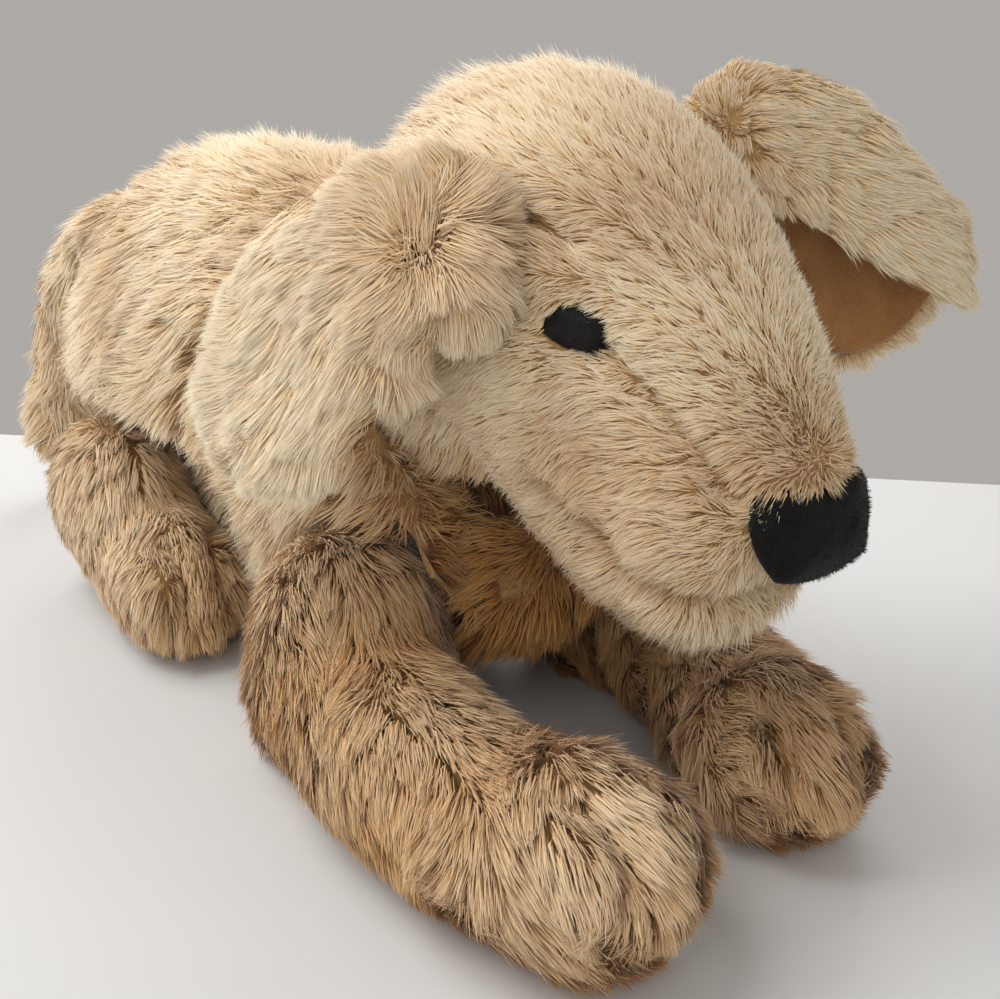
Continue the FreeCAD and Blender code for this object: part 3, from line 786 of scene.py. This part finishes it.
def fold_sheet(name, ridge, front, back, along=34, across=30):
    """A flap folded over its ridge, from a grid whose rows run from the front rim over to the back rim."""
    bpy.ops.object.select_all(action="DESELECT")
    bpy.ops.mesh.primitive_grid_add(x_subdivisions=along, y_subdivisions=across, size=2)
    sheet = bpy.context.active_object
    sheet.name = name
    top, near_rim, far_rim = (smooth_rows(rows, along + 1) for rows in (ridge, front, back))
    points = read_points(sheet.data)
    row = np.rint((points[:, 0] + 1) / 2 * along).astype(int)
    share = ((points[:, 1] + 1) / 2)[:, None]
    control = 2 * top - (near_rim + far_rim) / 2
    made = (1 - share) ** 2 * near_rim[row] + 2 * share * (1 - share) * control[row] + share ** 2 * far_rim[row]
    write_points(sheet.data, made)
    sheet.data.update()
    return sheet


def build_left_ear():
    outer = fold_sheet("ear_left_cloth", LEFT_RIDGE, LEFT_FRONT, LEFT_BACK)
    normals = read_normals(outer.data)
    points = read_points(outer.data)
    if np.mean((points - points.mean(axis=0)) * normals) < 0:
        outer.data.flip_normals()
        outer.data.update()
        normals = -normals
    ripple = waves(points, 0.045, 7)[:, :1] * 1.2 * MM
    write_points(outer.data, points + normals * ripple)
    lining = outer.copy()
    lining.data = outer.data.copy()
    lining.name = "ear_left_velour"
    bpy.context.scene.collection.objects.link(lining)
    write_points(lining.data, read_points(outer.data) - normals * 1.8 * MM)
    whorl = spot(52, 52, 176)
    grow("ear_left_pile", outer, "ear_left", 66000, away_from(whorl, 1.0, (0.35, -0.10, -0.25)), ear_length, 160,
         tone=left_ear_tone, tufts=((8.0, 0.45), (3.5, 0.35)), tousle=0.4, width=0.39, rise=(40, 12))
    for piece, made, slot, nodes in ((outer, BACKING, "pile_fabric", ["ear_outer_left"]),
                                     (lining, VELOUR, "ear_velour", ["ear_lining_left"])):
        thicken(piece, 1.2 * MM)
        give(piece, made)
        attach(piece, "ear_left")
        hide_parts(*nodes)


def ear_length(points, ways):
    """Short fuzz on the lobe where the ear is sewn on, long pile towards its tip."""
    return 8 + 8 * np.clip((points[:, 0] - spot(58, 0, 0)[0]) / (26 * MM), 0, 1)


def left_ear_tone(points, ways):
    return 0.16 - 0.36 * np.clip((points[:, 0] - spot(58, 0, 0)[0]) / (26 * MM), 0, 1)


RIGHT_WHORL = np.array([-41.0, -108.0, 156.0]) * MM
RIGHT_FACE = np.array([-0.91, -0.27, 0.31])


def right_ear_shape(points, normals):
    """Drawn in to leave room for the long pile, and bowed out over the cheek."""
    drawn = RIGHT_WHORL + (points - RIGHT_WHORL) * 0.76
    far = np.linalg.norm(drawn - middle_of("ear_outer_right"), axis=1) / (36 * MM)
    return drawn + RIGHT_FACE * (np.clip(1 - far ** 2, -0.4, 1) * 3.0 * MM)[:, None] + normals * (
        waves(points, 0.05, 5)[:, :1] * 1.0 * MM)


def right_ear_tone_and_painted_light(points, ways):
    """Pale over the flap, partly its own tone and partly painted light where it faces the lamps; honey round the
    whorl, painted shade in the parting there, and along the front edge.
    """
    front = np.clip((RIGHT_WHORL[1] + 8 * MM - points[:, 1]) / (14 * MM), 0, 1)
    return -0.26 + 0.26 * near(points, RIGHT_WHORL, 15 * MM) + 0.22 * front


def build_right_ear():
    ear = skin("ear_right_cloth", "ear_right", ["ear_outer_right"], [], 1.6 * MM, voxel=0.0025, cap=0.002,
               shape=right_ear_shape, smooth=6)
    grow("ear_right_pile", ear, "ear_right", 89000, away_from(RIGHT_WHORL, 0.8, (-0.1, 0.25, -0.55)),
         even(17), 140, keep=lambda p, n: (n @ RIGHT_FACE > -0.25) * 1.0, tufts=((9.0, 0.45), (4.0, 0.4)),
         tousle=0.6, width=0.39, rise=(46, 12), tone=right_ear_tone_and_painted_light)
    lining = copy_nodes("ear_right_velour", ["ear_lining_right"])
    apply(lining, "REMESH", mode="VOXEL", voxel_size=0.0012)
    apply(lining, "SMOOTH", factor=0.5, iterations=4)
    write_points(lining.data, right_ear_shape(read_points(lining.data), read_normals(lining.data)))
    only(lining)
    bpy.ops.object.shade_smooth()
    give(lining, VELOUR)
    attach(lining, "ear_right")
    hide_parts("ear_lining_right")


# ---------------------------------------------------------------- face: eyes, nose and thread

def button(name, body, node, centre, facing, level, half, rise, square, made, taper=0.0):
    """A rounded patch, crowned over what it is sewn to, with its edge tucked in."""
    facing = unit(np.array(facing))
    level = unit(np.array(level) - facing * np.dot(level, facing))
    up = np.cross(facing, level)
    bpy.ops.object.select_all(action="DESELECT")
    bpy.ops.mesh.primitive_grid_add(x_subdivisions=28, y_subdivisions=22, size=2)
    piece = bpy.context.active_object
    piece.name = name
    points = read_points(piece.data)
    across, high = points[:, 0].copy(), points[:, 1].copy()
    x = across * np.sqrt(1 - square * high ** 2)
    y = high * np.sqrt(1 - square * across ** 2)
    edge = np.maximum(np.abs(across), np.abs(high))
    dome = (1 - edge ** 3) ** 0.5
    x = x * (1 + taper * y)
    place = centre + (x[:, None] * level * half[0] + y[:, None] * up * half[1]
                      + facing * ((dome * rise - 1.0 - edge ** 2 * half[0] * 0.17)[:, None])) * MM
    write_points(piece.data, place)
    way = read_normals(piece.data).mean(axis=0)
    if way @ facing < 0:
        piece.data.flip_normals()
    thicken(piece, 1.4 * MM)
    give(piece, made)
    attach(piece, body)
    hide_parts(node)
    grow(name + "_nap", piece, body, 3600, lambda p, n: unit(p - centre), even(1.7), 200, width=0.16, rise=(60, 35),
         tufts=((1.5, 0.2),), tousle=0.5, keep=lambda p, n: (n @ facing > 0.1) * 1.0, made=made)
    return piece


def thread(name, body, lines, cover, node, radius):
    """Sewing thread lying in a crease of a cover."""
    tree = BVHTree.FromPolygons([v.co for v in cover.data.vertices], [tuple(p.vertices) for p in cover.data.polygons])
    route = bpy.data.curves.new(name, "CURVE")
    route.dimensions = "3D"
    for line in lines:
        spline = route.splines.new("NURBS")
        laid = []
        for point in line:
            place, normal = tree.find_nearest(Vector(point))[:2]
            laid.append(place + normal * 0.3 * MM)
        spline.points.add(len(laid) - 1)
        for target, place in zip(spline.points, laid):
            target.co = (*place, 1)
        spline.order_u = 3
        spline.use_endpoint_u = True
    route.bevel_depth = radius * MM
    route.bevel_resolution = 2
    route.use_fill_caps = True
    piece = bpy.data.objects.new(name, route)
    bpy.context.scene.collection.objects.link(piece)
    only(piece)
    bpy.ops.object.convert(target="MESH")
    piece = bpy.context.view_layer.objects.active
    give(piece, THREAD)
    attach(piece, body)
    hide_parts(node)


def build_face(covers):
    for side, sense in (("right", -1), ("left", 1)):
        facing = (sense * 0.86, -0.48, 0.17)
        level = (sense * -0.42, -0.82, -0.26)
        button("eye_" + side + "_felt", "head", "eye_" + side, EYES[side], facing, level, (9.6, 6.4), 4.6, 0.44, EYE)
    button("nose_velvet", "head", "nose_patch", NOSE, (0, -0.94, 0.32), (1, 0, 0), (20.0, 13.0), 4.8, 0.36,
           VELVET, taper=0.14)
    jaw = [np.array(point) for point in MOUTH[0]] + [np.array(point) for point in reversed(MOUTH[1])][1:]
    thread("mouth_thread", "head", [jaw], covers["head"], "mouth_stitch", 0.35)


def build_toes(covers):
    for body, lines in TOES.items():
        thread(body + "_toe_thread", body, lines, covers[body], body.replace("_", "_toe_stitches_", 1), 0.35)


def finish_nodes():
    """The CAD nodes that stay, inside the covers, get their own finish."""
    for node, obj in frame["nodes"].items():
        if "pellet" in node:
            give(obj, BAGCLOTH)
        elif "washer" in node:
            give(obj, WASHER)
        elif "stuffing" in node:
            give(obj, FILLING)


# ---------------------------------------------------------------- stage

CAMERA_SPOT = SHOULDER + np.array([-214.0, -283.6, 212.5]) * MM
CAMERA_TURN = -39.6            # degrees round the object, and then how far it looks down and leans
CAMERA_DOWN = 23.3
CAMERA_LEAN = 2.9
CAMERA_LENS = 45.06
TABLE_SIZE = 2.4
TABLE_EDGE = 0.54              # from below the camera to the table's far edge
TABLE_WAY = np.array([math.sin(math.radians(-CAMERA_TURN)), math.cos(math.radians(CAMERA_TURN))])


def build_stage():
    camera = bpy.data.objects.new("camera", bpy.data.cameras.new("camera"))
    camera.data.lens = CAMERA_LENS
    camera.data.sensor_width = 36.0
    camera.data.clip_start = 0.01
    turn = Matrix.Rotation(math.radians(CAMERA_TURN), 4, "Z")
    tilt = Matrix.Rotation(math.radians(90 - CAMERA_DOWN), 4, "X")
    lean = Matrix.Rotation(math.radians(CAMERA_LEAN), 4, "Z")
    camera.matrix_world = Matrix.Translation(Vector(CAMERA_SPOT)) @ turn @ tilt @ lean
    bpy.context.scene.collection.objects.link(camera)
    bpy.context.scene.camera = camera

    bpy.ops.object.select_all(action="DESELECT")
    bpy.ops.mesh.primitive_plane_add(size=TABLE_SIZE)
    floor = bpy.context.active_object
    floor.name = "floor"
    edge = CAMERA_SPOT[:2] + TABLE_WAY * (TABLE_EDGE - TABLE_SIZE / 2)
    points = read_points(floor.data)
    across = np.array([TABLE_WAY[1], -TABLE_WAY[0]])
    laid = edge + points[:, :1] * across + points[:, 1:2] * TABLE_WAY
    write_points(floor.data, np.column_stack([laid, np.zeros(len(laid))]))
    paint = material("floor_white", 0.5)[0]
    paint.node_tree.nodes["Principled BSDF"].inputs["Base Color"].default_value = (0.70, 0.705, 0.70, 1)
    floor.data.materials.append(paint)

    for name, place, size, power in (("key", (-0.55, 0.45, 1.05), 0.9, 12.0), ("fill", (-1.0, -0.8, 0.8), 1.3, 4.6),
                                     ("back", (0.75, 0.7, 0.9), 0.9, 7.0)):
        light = bpy.data.objects.new(name, bpy.data.lights.new(name, "AREA"))
        light.data.size = size
        light.data.energy = power
        light.location = place
        aim = Vector((0, 0, 0.08)) - Vector(place)
        light.rotation_euler = aim.to_track_quat("-Z", "Y").to_euler()
        bpy.context.scene.collection.objects.link(light)
    world = bpy.data.worlds.new("world")
    world.use_nodes = True
    world.node_tree.nodes["Background"].inputs["Color"].default_value = (0.42, 0.40, 0.38, 1)
    world.node_tree.nodes["Background"].inputs["Strength"].default_value = 1.0
    bpy.context.scene.world = world
    bpy.context.scene.view_settings.view_transform = "Standard"


build_stage()
covers = build_covers()
build_left_ear()
build_right_ear()
build_face(covers)
build_toes(covers)
finish_nodes()
